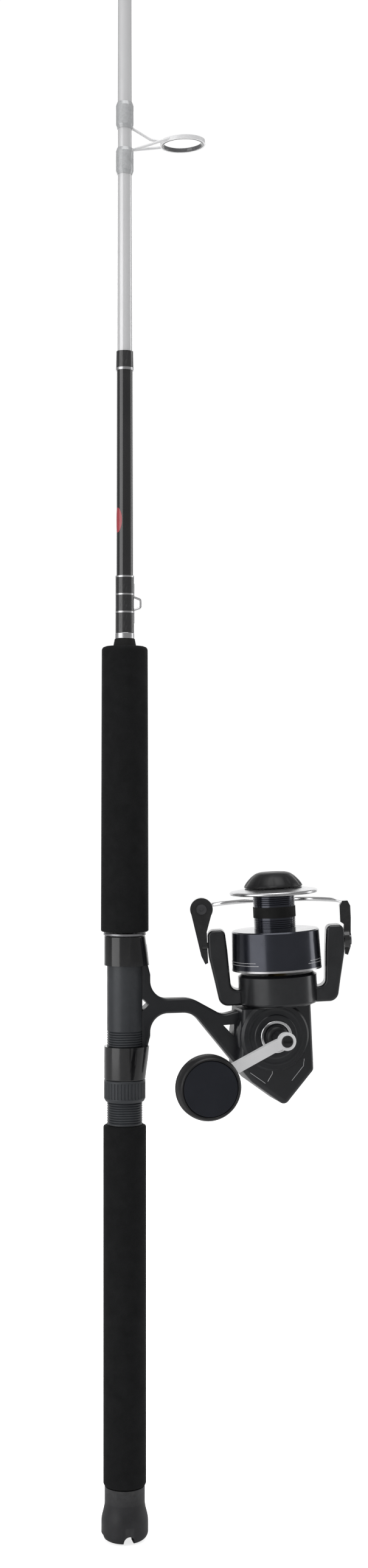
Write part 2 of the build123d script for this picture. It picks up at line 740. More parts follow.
# The foot's two legs run out of the stem in wide curves.
with BuildPart() as foot_and_stem:
    with BuildSketch(side(-STEM_HALF)):
        with BuildLine():
            FilletPolyline(
                *(place for place, _ in STEM_OUTLINE),
                radius=[corner for _, corner in STEM_OUTLINE],
                close=True,
            )
        make_face()
    extrude(amount=2 * STEM_HALF)
    flanks = foot_and_stem.faces().filter_by(Axis.Y)
    fillet(flanks.edges(), radius=STEM_ROUND)
with BuildPart() as foot_top:
    add(foot_and_stem.part)
    split(bisect_by=Plane.YZ.offset(STEM_SPLIT), keep=Keep.BOTTOM)
with BuildPart() as reel_body:
    with BuildSketch(side(-COVER_SPLIT)):
        Polygon(*GEARBOX, align=None)
    extrude(amount=COVER_SPLIT + BODY_SIDE)
    corners = reel_body.edges().filter_by(Axis.Y)
    fillet(corners.filter_by(lambda e: e.center().Z < 430), radius=5)
    fillet(reel_body.faces().sort_by(Axis.Y)[0].edges(), radius=4)
    with BuildSketch(DRIVE_SECTION):
        Polygon(
            (0, -COVER_SPLIT),
            (DRUM_R + 0.8, -COVER_SPLIT),
            (DRUM_R + 0.8, DRUM_SIDE - 7.5),
            (DRUM_R - 0.8, DRUM_SIDE - 5.9),
            (DRUM_R - 0.8, DRUM_SIDE - 2),
            (DRUM_R - 2.8, DRUM_SIDE),
            (0, DRUM_SIDE),
            align=None,
        )
    revolve(axis=DRIVE_AXIS)
    add(foot_and_stem.part)
    split(bisect_by=REEL.offset(HOUSING_TOP), keep=Keep.BOTTOM)
    add(foot_top.part)
    with BuildSketch(REEL.offset(HOUSING_TOP)):
        Circle(NECK_R)
    extrude(amount=NECK_TOP - HOUSING_TOP)
    with BuildSketch(REEL.offset(NECK_TOP - 1)):
        Circle(NOSE_R)
    extrude(amount=NOSE_TOP - NECK_TOP + 1)
    add(gearbox_room.part, mode=Mode.SUBTRACT)
    # bearing boss on the crank's side
    with BuildSketch(side(DRUM_SIDE - WALL - 3)):
        with Locations((DRIVE_X, DRIVE_Z)):
            Circle(BEZEL_R - 3)
    extrude(amount=WALL + 4.5)
    with BuildSketch(side(DRUM_SIDE - WALL - 4)):
        with Locations((DRIVE_X, DRIVE_Z)):
            Circle(8 + GLUE)
    extrude(amount=WALL + 7, mode=Mode.SUBTRACT)
    # bosses for the cover screws
    with BuildSketch(side(-COVER_SPLIT)):
        with Locations(*COVER_SCREWS):
            Circle(SCREW_R + 1.8)
    extrude(amount=SCREW_LONG + 1)
    with BuildSketch(side(-COVER_SPLIT - 1)):
        with Locations(*COVER_SCREWS):
            Circle(SCREW_R + 0.02)
    extrude(amount=SCREW_LONG + 1.2, mode=Mode.SUBTRACT)
    # saddle, relief between the legs and the web's window
    with BuildSketch(Plane.XY.offset(FOOT[0] - 5)):
        Circle(SEAT_R + GLUE)
    extrude(amount=FOOT[1] - FOOT[0] + 10, mode=Mode.SUBTRACT)
    with BuildSketch(side(-20)):
        Polygon((SEAT_R - 4, 430), (SEAT_R + 4.6, 438), (SEAT_R - 4, 446), align=None)
        Polygon(*WINDOW, align=None)
    extrude(amount=40, mode=Mode.SUBTRACT)
reel_body.part.label = "reel_body"
export_step(reel_body.part, "parts/reel_body.step")

# The side cover closes the gearbox on the side away from the crank.
with BuildPart() as side_cover:
    with BuildSketch(side(-COVER_SIDE)):
        Polygon(*GEARBOX, align=None)
    extrude(amount=COVER_SIDE - COVER_SPLIT - GLUE)
    corners = side_cover.edges().filter_by(Axis.Y)
    fillet(corners.filter_by(lambda e: e.center().Z < 430), radius=5)
    fillet(side_cover.faces().sort_by(Axis.Y)[-1].edges(), radius=3)
    split(bisect_by=REEL.offset(HOUSING_TOP), keep=Keep.BOTTOM)
    with BuildSketch(side(-COVER_SIDE + WALL)):
        Polygon(*GEARBOX, align=None)
        offset(amount=-WALL)
    extrude(amount=COVER_SIDE, mode=Mode.SUBTRACT)
    with BuildSketch(side(-COVER_SIDE + 1)):
        with Locations((DRIVE_X, DRIVE_Z)):
            Circle(BEZEL_R - 3)
    extrude(amount=COVER_SIDE - COVER_SPLIT - 2)
    with BuildSketch(side(-COVER_SIDE + 1.5)):
        with Locations((DRIVE_X, DRIVE_Z)):
            Circle(8 + GLUE)
    extrude(amount=COVER_SIDE, mode=Mode.SUBTRACT)
    # the stud that the crosswind gear turns on
    with BuildSketch(side(-COVER_SIDE + 1)):
        with Locations((CROSSWIND_X, CROSSWIND_Z)):
            Circle(CROSSWIND_STUD_R + 2)
    extrude(amount=COVER_SIDE - 1 - CROSSWIND_PLANE[1] - 0.5)
    with BuildSketch(side(-COVER_SIDE + 1)):
        with Locations((CROSSWIND_X, CROSSWIND_Z)):
            Circle(CROSSWIND_STUD_R)
    extrude(amount=COVER_SIDE - 1 - CROSSWIND_PLANE[0] + 0.4)
    with BuildSketch(side(-COVER_SIDE + 1)):
        with Locations(*COVER_SCREWS):
            Circle(SCREW_R + 1.8)
    extrude(amount=COVER_SIDE - COVER_SPLIT - 1 - GLUE)
    with BuildSketch(side(-COVER_SIDE - 1)):
        with Locations(*COVER_SCREWS):
            Circle(SCREW_R + GLUE)
    extrude(amount=COVER_SIDE, mode=Mode.SUBTRACT)
side_cover.part.label = "side_cover"
export_step(side_cover.part, "parts/side_cover.step")

with BuildPart() as cover_screws:
    with BuildSketch(side(-COVER_SIDE - 1.4)):
        with Locations(*COVER_SCREWS):
            Circle(SCREW_R * 1.8)
    extrude(amount=1.3)
    with BuildSketch(side(-COVER_SIDE - 0.2)):
        with Locations(*COVER_SCREWS):
            Circle(SCREW_R)
    extrude(amount=COVER_SIDE - COVER_SPLIT + SCREW_LONG)
    with BuildSketch(side(-COVER_SIDE - 2)):
        with Locations(*COVER_SCREWS):
            Rectangle(SCREW_R * 2.6, 0.6)
            Rectangle(0.6, SCREW_R * 2.6)
    extrude(amount=1.2, mode=Mode.SUBTRACT)
cover_screws.part.label = "cover_screws"
export_step(cover_screws.part, "parts/cover_screws.step")

# Ball bearings are drawn as plain rings.
with BuildPart() as gear_bearings:
    for near in (DRUM_SIDE - WALL - 3.8, -COVER_SIDE + 1.6):
        with BuildSketch(side(near)):
            with Locations((DRIVE_X, DRIVE_Z)):
                Circle(8)
                Circle(DRIVE_SHAFT_R + RUNNING, mode=Mode.SUBTRACT)
        extrude(amount=4)
gear_bearings.part.label = "gear_bearings"
export_step(gear_bearings.part, "parts/gear_bearings.step")

with BuildPart() as pinion_bearing:
    with BuildSketch(REEL.offset(29.0)):
        Circle(BEARING_R)
        Circle(PINION_SLEEVE_R + RUNNING, mode=Mode.SUBTRACT)
    extrude(amount=5)
pinion_bearing.part.label = "pinion_bearing"
export_step(pinion_bearing.part, "parts/pinion_bearing.step")

# The one-way clutch that stops the rotor from turning back.
with BuildPart() as one_way_clutch:
    with BuildSketch(REEL.offset(34.5)):
        Circle(CLUTCH_R)
        Circle(PINION_SLEEVE_R + RUNNING, mode=Mode.SUBTRACT)
    extrude(amount=7.5)
one_way_clutch.part.label = "one_way_clutch"
export_step(one_way_clutch.part, "parts/one_way_clutch.step")

with BuildPart() as hub_bezel:
    with BuildSketch(side(DRUM_SIDE + GLUE)):
        with Locations((DRIVE_X, DRIVE_Z)):
            Circle(BEZEL_R)
            Circle(BEZEL_R - 3 + GLUE, mode=Mode.SUBTRACT)
    extrude(amount=2.4)
    fillet(hub_bezel.faces().sort_by(Axis.Y)[0].edges(), radius=0.8)
hub_bezel.part.label = "hub_bezel"
export_step(hub_bezel.part, "parts/hub_bezel.step")

# The rail keeps the oscillation slider square.
with BuildPart() as slider_rail:
    with BuildSketch(REEL.offset(RAIL_LOW)):
        with Locations((RAIL_X, 0)):
            Circle(RAIL_R)
    extrude(amount=RAIL_HIGH - RAIL_LOW)
slider_rail.part.label = "slider_rail"
export_step(slider_rail.part, "parts/slider_rail.step")

# =================================================================== DRIVE
# The drive gear is a face gear: its straight teeth stand on the disc's face and
# run along the spool axis where they meet the pinion.
with BuildPart() as drive_gear:
    with BuildSketch(side(GEAR_FACE[1])):
        with Locations((DRIVE_X, DRIVE_Z)):
            Circle(GEAR_R)
    extrude(amount=GEAR_FACE[0] - GEAR_FACE[1])
    gear_face = Plane(
        (DRIVE_X, -GEAR_FACE[1], DRIVE_Z),
        x_dir=REEL.x_dir,
        z_dir=(0, 1, 0),
    )
    with BuildSketch(gear_face):
        with PolarLocations(0, GEAR_TEETH):
            with Locations((GEAR_OFFSET, -MESH_REACH)):
                Rectangle(1.1, 3.6)
    extrude(amount=TOOTH_TALL, taper=10)
    with BuildSketch(side(-COVER_SIDE + 1.8)):
        with Locations((DRIVE_X, DRIVE_Z)):
            Circle(DRIVE_SHAFT_R)
    extrude(amount=COVER_SIDE - 1.8 + DRUM_SIDE + 2)
    with BuildSketch(side(GEAR_FACE[0])):
        with Locations((DRIVE_X, DRIVE_Z)):
            Circle(7.5)
    extrude(amount=DRUM_SIDE - WALL - 4.0 - GEAR_FACE[0])
    with BuildSketch(side(-CROSSWIND_PLANE[1])):
        with Locations((DRIVE_X, DRIVE_Z)):
            Circle(SPUR_MODULE * SPUR_TEETH / 2 - 1.15 * SPUR_MODULE)
            with PolarLocations(SPUR_MODULE * SPUR_TEETH / 2 - 0.2, SPUR_TEETH, start_angle=CROSSWIND_ANGLE):
                Rectangle(2.0, 1.1)
    extrude(amount=CROSSWIND_PLANE[1] - CROSSWIND_PLANE[0])
drive_gear.part.label = "drive_gear"
export_step(drive_gear.part, "parts/drive_gear.step")

with BuildPart() as crosswind_gear:
    pitch_r = SPUR_MODULE * CROSSWIND_TEETH / 2
    gap_first = CROSSWIND_ANGLE + 180 + 180 / CROSSWIND_TEETH
    with BuildSketch(side(-CROSSWIND_PLANE[1])):
        with Locations((CROSSWIND_X, CROSSWIND_Z)):
            Circle(pitch_r - 1.15 * SPUR_MODULE)
            with PolarLocations(pitch_r - 0.2, CROSSWIND_TEETH, start_angle=gap_first):
                Rectangle(2.0, 1.1)
            Circle(CROSSWIND_STUD_R + RUNNING, mode=Mode.SUBTRACT)
    extrude(amount=CROSSWIND_PLANE[1] - CROSSWIND_PLANE[0])
    with BuildSketch(side(-CROSSWIND_PLANE[0])):
        with Locations((CROSSWIND_X + CRANK_PIN_REACH, CROSSWIND_Z)):
            Circle(1.4)
    extrude(amount=0.5)
crosswind_gear.part.label = "crosswind_gear"
export_step(crosswind_gear.part, "parts/crosswind_gear.step")

with BuildPart() as hub_cap:
    with BuildSketch(DRIVE_SECTION):
        with BuildLine():
            foot = Line((DRIVE_SHAFT_R, DRUM_SIDE + 2.2), (9.8, DRUM_SIDE + 2.2))
            rim = Line(foot @ 1, (9.8, DRUM_SIDE + 3.6))
            dome = Spline(rim @ 1, (6.3, DRUM_SIDE + 8.0), tangents=((0, 1), (-1, 0.25)))
            Polyline(dome @ 1, (DRIVE_SHAFT_R, DRUM_SIDE + 8.0), foot @ 0)
        make_face()
    revolve(axis=DRIVE_AXIS)
    with BuildSketch(side(DRUM_SIDE)):
        with Locations((DRIVE_X, DRIVE_Z)):
            Circle(DRIVE_SHAFT_R + GLUE)
    extrude(amount=12, mode=Mode.SUBTRACT)
hub_cap.part.label = "hub_cap"
export_step(hub_cap.part, "parts/hub_cap.step")

with BuildPart() as crank_shank:
    with BuildSketch(side(DRUM_SIDE + 2.1)):
        with Locations((DRIVE_X, DRIVE_Z)):
            Circle(DRIVE_SHAFT_R)
    extrude(amount=6)
    with BuildSketch(side(DRUM_SIDE + 8.1)):
        with Locations((DRIVE_X, DRIVE_Z)):
            Circle(6.0)
    extrude(amount=CRANK_PLANE - CRANK_THICK / 2 - DRUM_SIDE - 8.1 - GLUE, taper=3)
crank_shank.part.label = "crank_shank"
export_step(crank_shank.part, "parts/crank_shank.step")

# The crank is a flat bar that steps outwards so that its knob passes the rotor.
CRANK_SIDE = Plane(
    (DRIVE_X, 0, DRIVE_Z),
    x_dir=(KNOB_X - DRIVE_X, 0, KNOB_Z - DRIVE_Z),
    z_dir=(KNOB_Z - DRIVE_Z, 0, DRIVE_X - KNOB_X),
)
with BuildPart() as crank_arm:
    half = CRANK_THICK / 2
    with BuildSketch(CRANK_SIDE):
        with BuildLine():
            FilletPolyline(
                (-CRANK_EYE_R - 2, CRANK_PLANE),
                (11, CRANK_PLANE),
                (58, CRANK_END_PLANE),
                (CRANK_LENGTH + CRANK_END_R + 2, CRANK_END_PLANE),
                radius=32,
            )
        trace(line_width=CRANK_THICK)
    extrude(amount=CRANK_EYE_R, both=True)
    outline = Plane((DRIVE_X, 0, DRIVE_Z), x_dir=CRANK_SIDE.x_dir, z_dir=(0, -1, 0))
    with BuildSketch(outline):
        Circle(CRANK_EYE_R)
        with Locations((CRANK_LENGTH, 0)):
            Circle(CRANK_END_R)
        Polygon(
            (0, CRANK_HALF),
            (CRANK_LENGTH, CRANK_HALF),
            (CRANK_LENGTH, -CRANK_HALF),
            (0, -CRANK_HALF),
            align=None,
        )
    extrude(amount=120, both=True, mode=Mode.INTERSECT)
    # shallow oval recess in the eye's face
    with BuildSketch(side(CRANK_PLANE + half - 0.8)):
        with Locations((DRIVE_X, DRIVE_Z)):
            Circle(CRANK_EYE_R - 2.4)
    extrude(amount=3, mode=Mode.SUBTRACT)
    with BuildSketch(side(CRANK_PLANE - 20)):
        with Locations((DRIVE_X, DRIVE_Z)):
            Circle(3.0 + GLUE)
    extrude(amount=40, mode=Mode.SUBTRACT)
    with BuildSketch(side(CRANK_END_PLANE - 20)):
        with Locations((KNOB_X, KNOB_Z)):
            Circle(SPINDLE_R + 0.02)
    extrude(amount=40, mode=Mode.SUBTRACT)
crank_arm.part.label = "crank_arm"
export_step(crank_arm.part, "parts/crank_arm.step")

with BuildPart() as crank_screw:
    with BuildSketch(side(CRANK_PLANE - CRANK_THICK / 2)):
        with Locations((DRIVE_X, DRIVE_Z)):
            Circle(3.0)
    extrude(amount=CRANK_THICK - 0.7)
    with BuildSketch(side(CRANK_PLANE + CRANK_THICK / 2 - 0.7)):
        with Locations((DRIVE_X, DRIVE_Z)):
            Circle(CRANK_EYE_R - 2.6)
    extrude(amount=1.4)
    chamfer(crank_screw.faces().sort_by(Axis.Y)[0].edges(), length=0.4)
    with BuildSketch(side(CRANK_PLANE + CRANK_THICK / 2 - 0.1)):
        with Locations((DRIVE_X, DRIVE_Z)):
            SlotOverall(7.0, 2.2)
    extrude(amount=2, mode=Mode.SUBTRACT)
crank_screw.part.label = "crank_screw"
export_step(crank_screw.part, "parts/crank_screw.step")

with BuildPart() as knob_spindle:
    with BuildSketch(side(CRANK_END_PLANE - CRANK_THICK / 2 - 1.2)):
        with Locations((KNOB_X, KNOB_Z)):
            Circle(SPINDLE_R + 1.6)
    extrude(amount=1.15)
    with BuildSketch(side(CRANK_END_PLANE - CRANK_THICK / 2 - 0.1)):
        with Locations((KNOB_X, KNOB_Z)):
            Circle(SPINDLE_R)
    extrude(amount=KNOB[1] - 6 - CRANK_END_PLANE + CRANK_THICK / 2)
    with BuildSketch(side(CRANK_END_PLANE + CRANK_THICK / 2 + GLUE)):
        with Locations((KNOB_X, KNOB_Z)):
            Circle(SPINDLE_R + 2.5)
    extrude(amount=1.1)
knob_spindle.part.label = "knob_spindle"
export_step(knob_spindle.part, "parts/knob_spindle.step")

# The knob turns on its spindle; a cap closes its outer face.
with BuildPart() as knob:
    with BuildSketch(KNOB_SECTION):
        with BuildLine():
            low = Line((0, KNOB[0]), (9, KNOB[0]))
            swell = Spline(
                low @ 1, (KNOB_R, KNOB[0] + 15), tangents=((0.5, 1), (0, 1)),
            )
            crown = Spline(
                swell @ 1, (KNOB_FACE_R + 1.5, KNOB[1]), tangents=((0, 1), (-1, 0.5)),
            )
            Polyline(crown @ 1, (0, KNOB[1]), (0, KNOB[0]))
        make_face()
    revolve(axis=KNOB_AXIS)
    with BuildSketch(side(KNOB[1] - 3)):
        with Locations((KNOB_X, KNOB_Z)):
            Circle(KNOB_FACE_R)
    extrude(amount=5, mode=Mode.SUBTRACT)
    with BuildSketch(side(KNOB[0] - 1)):
        with Locations((KNOB_X, KNOB_Z)):
            Circle(SPINDLE_R + 1.5 + GLUE)
    extrude(amount=KNOB[1] - KNOB[0], mode=Mode.SUBTRACT)
knob.part.label = "knob"
export_step(knob.part, "parts/knob.step")

with BuildPart() as knob_bushes:
    for near in (KNOB[0], KNOB[1] - 11):
        with BuildSketch(side(near)):
            with Locations((KNOB_X, KNOB_Z)):
                Circle(SPINDLE_R + 1.5)
                Circle(SPINDLE_R + RUNNING, mode=Mode.SUBTRACT)
        extrude(amount=5)
knob_bushes.part.label = "knob_bushes"
export_step(knob_bushes.part, "parts/knob_bushes.step")

with BuildPart() as knob_cap:
    with BuildSketch(side(KNOB[1] - 2.9)):
        with Locations((KNOB_X, KNOB_Z)):
            Circle(KNOB_FACE_R - GLUE)
    extrude(amount=2.3)
    fillet(knob_cap.faces().sort_by(Axis.Y)[0].edges(), radius=0.8)
knob_cap.part.label = "knob_cap"
export_step(knob_cap.part, "parts/knob_cap.step")

# =================================================================== ROTOR
with BuildPart() as pinion:
    with BuildSketch(REEL.offset(PINION_LOW)):
        Circle(PINION_PITCH_R - 0.85)
        with PolarLocations(PINION_PITCH_R, PINION_TEETH, start_angle=-90 + 180 / PINION_TEETH):
            Trapezoid(1.55, 1.5, 70, rotation=-90)
    extrude(amount=28.5 - PINION_LOW)
    with BuildSketch(REEL.offset(28.5)):
        Circle(PINION_SLEEVE_R)
    extrude(amount=ROTOR[1] + 5.0 - 28.5)
    with BuildSketch(REEL.offset(PINION_LOW - 1)):
        Circle(SHAFT_R + RUNNING)
    extrude(amount=60, mode=Mode.SUBTRACT)
pinion.part.label = "pinion"
export_step(pinion.part, "parts/pinion.step")

# The rotor is a cup that carries two arms past the spool's skirt.
# side view of an arm: (distance from the spool axis and height, radius of the corner)
ARM_OUTLINE = (
    ((ROTOR_R - 3, ROTOR[0] + 0.6), 0.5),
    ((49.0, ROTOR[0] + 0.6), 8.0),
    ((52.5, 45.0), 30.0),
    ((ARM_OUTER, 68.0), 30.0),
    ((ARM_OUTER, ARM_TOP), 5.0),
    ((ARM_INNER + 1.5, ARM_TOP), 4.5),
    ((ARM_INNER, 72.0), 20.0),
    ((ARM_INNER - 1.8, ARM_FLOOR), 6.0),
    ((ROTOR_R - 3, ARM_FLOOR), 0.5),
)
with BuildPart() as rotor_arm:
    with BuildSketch(Plane(REEL.origin, x_dir=TURNED.x_dir, z_dir=-TURNED.y_dir)):
        with BuildLine():
            FilletPolyline(
                *(place for place, _ in ARM_OUTLINE),
                radius=[corner for _, corner in ARM_OUTLINE],
                close=True,
            )
        make_face()
    extrude(amount=ARM_HALF, both=True)
    flanks = rotor_arm.faces().filter_by(Axis(REEL.origin, TURNED.y_dir))
    fillet(flanks.edges(), radius=ARM_ROUND)
with BuildPart() as rotor:
    with BuildSketch(REEL_SECTION):
        Polygon(
            (0, ROTOR[0]),
            (ROTOR_R, ROTOR[0]),
            (ROTOR_R, ROTOR[1] - 2),
            (ROTOR_R - 3, ROTOR[1]),
            (0, ROTOR[1]),
            align=None,
        )
    revolve(axis=SPOOL_AXIS)
    fillet(rotor.faces().filter_by(GeomType.PLANE).sort_by(SPOOL_AXIS)[0].edges(), radius=2.4)
    add(rotor_arm.part)
    add(rotor_arm.part.rotate(SPOOL_AXIS, 180))
    inner_top = ROTOR[1] - 7
    with BuildSketch(REEL_SECTION):
        Polygon(
            (0, ROTOR[0] - 1),
            (ROTOR_R - ROTOR_WALL, ROTOR[0] - 1),
            (ROTOR_R - ROTOR_WALL, inner_top - 2),
            (ROTOR_R - ROTOR_WALL - 2, inner_top),
            (0, inner_top),
            align=None,
        )
    revolve(axis=SPOOL_AXIS, mode=Mode.SUBTRACT)
    with BuildSketch(REEL.offset(inner_top - 1)):
        Circle(PINION_SLEEVE_R + 0.02)
    extrude(amount=20, mode=Mode.SUBTRACT)
    for way in (-1, 1):
        bore = Plane(TURNED.from_local_coords((0, 0, BAIL_PIVOT)), z_dir=TURNED.x_dir * way)
        with BuildSketch(bore.offset(ARM_OUTER - 9)):
            Circle(BAIL_SCREW_R)
        extrude(amount=12, mode=Mode.SUBTRACT)
rotor.part.label = "rotor"
export_step(rotor.part, "parts/rotor.step")

with BuildPart() as rotor_nut:
    with BuildSketch(REEL.offset(ROTOR[1] + GLUE)):
        RegularPolygon(8.0, 6)
        Circle(PINION_SLEEVE_R + 0.02, mode=Mode.SUBTRACT)
    extrude(amount=3.5)
rotor_nut.part.label = "rotor_nut"
export_step(rotor_nut.part, "parts/rotor_nut.step")

with BuildPart() as bail_screws:
    for way in (-1, 1):
        bore = Plane(TURNED.from_local_coords((0, 0, BAIL_PIVOT)), z_dir=TURNED.x_dir * way)
        with BuildSketch(bore.offset(ARM_OUTER - 8.5)):
            Circle(BAIL_SCREW_R - 0.02)
        extrude(amount=8.5 + BAIL_LEVER_OUT - ARM_OUTER + GLUE)
        with BuildSketch(bore.offset(BAIL_LEVER_OUT + GLUE)):
            Circle(BAIL_SCREW_R + 2.2)
        extrude(amount=1.6)
        with BuildSketch(bore.offset(BAIL_LEVER_OUT + 1.0)):
            Rectangle(2 * BAIL_SCREW_R + 2, 0.9)
        extrude(amount=2, mode=Mode.SUBTRACT)
bail_screws.part.label = "bail_screws"
export_step(bail_screws.part, "parts/bail_screws.step")


def lever_section(way):
    """The plane of a bail lever's side view: outwards from the spool axis, and up it."""
    return Plane(
        TURNED.origin,
        x_dir=TURNED.x_dir * way,
        z_dir=-TURNED.y_dir * way,
    )


def lever_bore(way):
    """The plane at right angles to the bail's pivot, seen from the spool axis."""
    return Plane(TURNED.from_local_coords((0, 0, BAIL_PIVOT)), z_dir=TURNED.x_dir * way)


# The bail arm carries the line roller on a round boss.
with BuildPart() as bail_arm:
    boss_x, boss_u = BAIL_BOSS
    with BuildSketch(lever_section(-1).offset(-7.5)):
        Polygon(
            (LEVER_IN, 62),
            (LEVER_IN + 2.5, 61),
            (LEVER_IN + 5.5, 68),
            (boss_x + 8.6, boss_u - 4.2),
            (boss_x, boss_u),
            (boss_x - 8.4, boss_u - 3.8),
            (LEVER_IN, ARM_TOP - 1),
            align=None,
        )
        with Locations((boss_x, boss_u)):
            Circle(BAIL_BOSS_R)
    extrude(amount=8.5)
    with BuildSketch(lever_bore(-1).offset(LEVER_IN)):
        Circle(8.0)
    extrude(amount=BAIL_LEVER_OUT - LEVER_IN)
    with BuildSketch(lever_bore(-1).offset(BAIL_LEVER_OUT)):
        Circle(BAIL_SCREW_R + 2.6)
    extrude(amount=12, mode=Mode.SUBTRACT)
    with BuildSketch(lever_bore(-1).offset(50)):
        Circle(BAIL_SCREW_R + RUNNING)
    extrude(amount=20, mode=Mode.SUBTRACT)
    with BuildSketch(lever_section(-1).offset(-12)):
        with Locations((boss_x, boss_u)):
            Circle(ROLLER_PIN_R + 0.02)
    extrude(amount=20, mode=Mode.SUBTRACT)
    with BuildSketch(lever_section(-1).offset(-8.5)):
        with Locations((boss_x, boss_u)):
            Circle(4.4)
    extrude(amount=2.2, mode=Mode.SUBTRACT)
bail_arm.part.label = "bail_arm"
export_step(bail_arm.part, "parts/bail_arm.step")

# The wire arm holds the other end of the bail wire.
with BuildPart() as wire_arm:
    wire_x, wire_u = WIRE_BOSS
    with BuildSketch(lever_section(1).offset(-5)):
        Polygon(
            (LEVER_IN, 64),
            (LEVER_IN + 2.5, 63),
            (LEVER_IN + 5.0, 70),
            (wire_x + 4.6, wire_u - 12),
            (wire_x + 4.6, wire_u - 2),
            (wire_x + 2.5, wire_u + 2.5),
            (wire_x - 2.0, wire_u + 2.5),
            (wire_x - 4.4, wire_u - 2),
            (wire_x - 4.4, ARM_TOP + 2),
            (LEVER_IN, ARM_TOP),
            align=None,
        )
    extrude(amount=8)
    with BuildSketch(lever_bore(1).offset(LEVER_IN)):
        Circle(8.0)
    extrude(amount=BAIL_LEVER_OUT - LEVER_IN)
    with BuildSketch(lever_bore(1).offset(BAIL_LEVER_OUT)):
        Circle(BAIL_SCREW_R + 2.6)
    extrude(amount=12, mode=Mode.SUBTRACT)
    with BuildSketch(lever_bore(1).offset(50)):
        Circle(BAIL_SCREW_R + RUNNING)
    extrude(amount=20, mode=Mode.SUBTRACT)
    with BuildSketch(Plane(TURNED.from_local_coords((wire_x, 0, wire_u - 2)), z_dir=TURNED.y_dir)):
        Circle(3.4)
    extrude(amount=6)
wire_arm.part.label = "wire_arm"
export_step(wire_arm.part, "parts/wire_arm.step")

# The bail wire runs from the roller's outer end round the back of the spool.
WIRE_PLANE = TURNED.offset(BAIL_WIRE_U)
with BuildPart() as bail_wire:
    with BuildLine(WIRE_PLANE) as wire_path:
        start = Line((-BAIL_BOSS[0], ROLLER[1] + 0.6), (-BAIL_BOSS[0], 12))
        round_back = ThreePointArc(
            start @ 1, (-1, 12 + (BAIL_BOSS[0] + WIRE_BOSS[0]) / 2), (WIRE_BOSS[0], 12),
        )
        Line(round_back @ 1, (WIRE_BOSS[0], 6.1))
    with BuildSketch(Plane(origin=wire_path.line @ 0, z_dir=wire_path.line % 0)):
        Circle(WIRE_R)
    sweep()
    boss_x, boss_u = BAIL_BOSS
    with BuildSketch(lever_section(-1).offset(ROLLER[1] + 0.4)):
        with Locations((boss_x, boss_u)):
            Circle(5.2)
    extrude(amount=5.0, taper=24)
    with BuildSketch(lever_section(-1).offset(-1)):
        with Locations((boss_x, boss_u)):
            Circle(ROLLER_PIN_R + 0.02)
    extrude(amount=ROLLER[1] + 3.2, mode=Mode.SUBTRACT)
bail_wire.part.label = "bail_wire"
export_step(bail_wire.part, "parts/bail_wire.step")

with BuildPart() as roller_pin:
    with BuildSketch(lever_section(-1).offset(-8.3)):
        with Locations((boss_x, boss_u)):
            Circle(4.3)
    extrude(amount=1.9)
    with BuildSketch(lever_section(-1).offset(-6.4)):
        with Locations((boss_x, boss_u)):
            Circle(ROLLER_PIN_R)
    extrude(amount=6.4 + ROLLER[1] + 2.0)
    with BuildSketch(lever_section(-1).offset(-9)):
        with Locations((boss_x, boss_u)):
            RegularPolygon(1.9, 6)
    extrude(amount=1.9, mode=Mode.SUBTRACT)
roller_pin.part.label = "roller_pin"
export_step(roller_pin.part, "parts/roller_pin.step")

ROLLER_CENTRE = TURNED.from_local_coords((-BAIL_BOSS[0], 0, BAIL_BOSS[1]))
ROLLER_AXIS = Axis(ROLLER_CENTRE, TURNED.y_dir)
ROLLER_SECTION = Plane(ROLLER_CENTRE, x_dir=TURNED.x_dir, z_dir=TURNED.z_dir)
with BuildPart() as line_roller:
    with BuildSketch(ROLLER_SECTION):
        with BuildLine():
            low, high = ROLLER
            rim = Polyline((ROLLER_PIN_R + RUNNING, low), (ROLLER_R, low), (ROLLER_R, low + 1.6))
            groove = ThreePointArc(
                rim @ 1, (ROLLER_R - 2.0, (low + high) / 2), (ROLLER_R, high - 1.6),
            )
            Polyline(
                groove @ 1,
                (ROLLER_R, high),
                (ROLLER_PIN_R + RUNNING, high),
                (ROLLER_PIN_R + RUNNING, low),
            )
        make_face()
    revolve(axis=ROLLER_AXIS)
line_roller.part.label = "line_roller"
export_step(line_roller.part, "parts/line_roller.step")

# =================================================================== SHAFT
with BuildPart() as main_shaft:
    with BuildSketch(REEL.offset(SLIDER_REST - 4)):
        Circle(SHAFT_R)
    extrude(amount=SHAFT_TOP - SLIDER_REST + 4)
main_shaft.part.label = "main_shaft"
export_step(main_shaft.part, "parts/main_shaft.step")

# The slider block rides on the shaft's lower end; its cross slot faces the crank pin.
with BuildPart() as slider:
    with BuildSketch(REEL.offset(SLIDER_REST - SLIDER_HALF)):
        with Locations((2.5, (SLIDER_FRONT + SLIDER_BACK) / 2)):
            Rectangle(24, SLIDER_BACK - SLIDER_FRONT)
        Circle(SHAFT_R + 0.02, mode=Mode.SUBTRACT)
        with Locations((RAIL_X, 0)):
            Circle(RAIL_R + RUNNING, mode=Mode.SUBTRACT)
    extrude(amount=2 * SLIDER_HALF)
    slot_plane = Plane(
        REEL.from_local_coords((-3, SLIDER_BACK - 1.2, SLIDER_REST)), x_dir=REEL.x_dir, z_dir=(0, -1, 0),
    )
    with BuildSketch(slot_plane):
        SlotOverall(2 * CRANK_PIN_REACH + 4, 3.4)
    extrude(amount=-2.4, mode=Mode.SUBTRACT)
slider.part.label = "slider"
export_step(slider.part, "parts/slider.step")

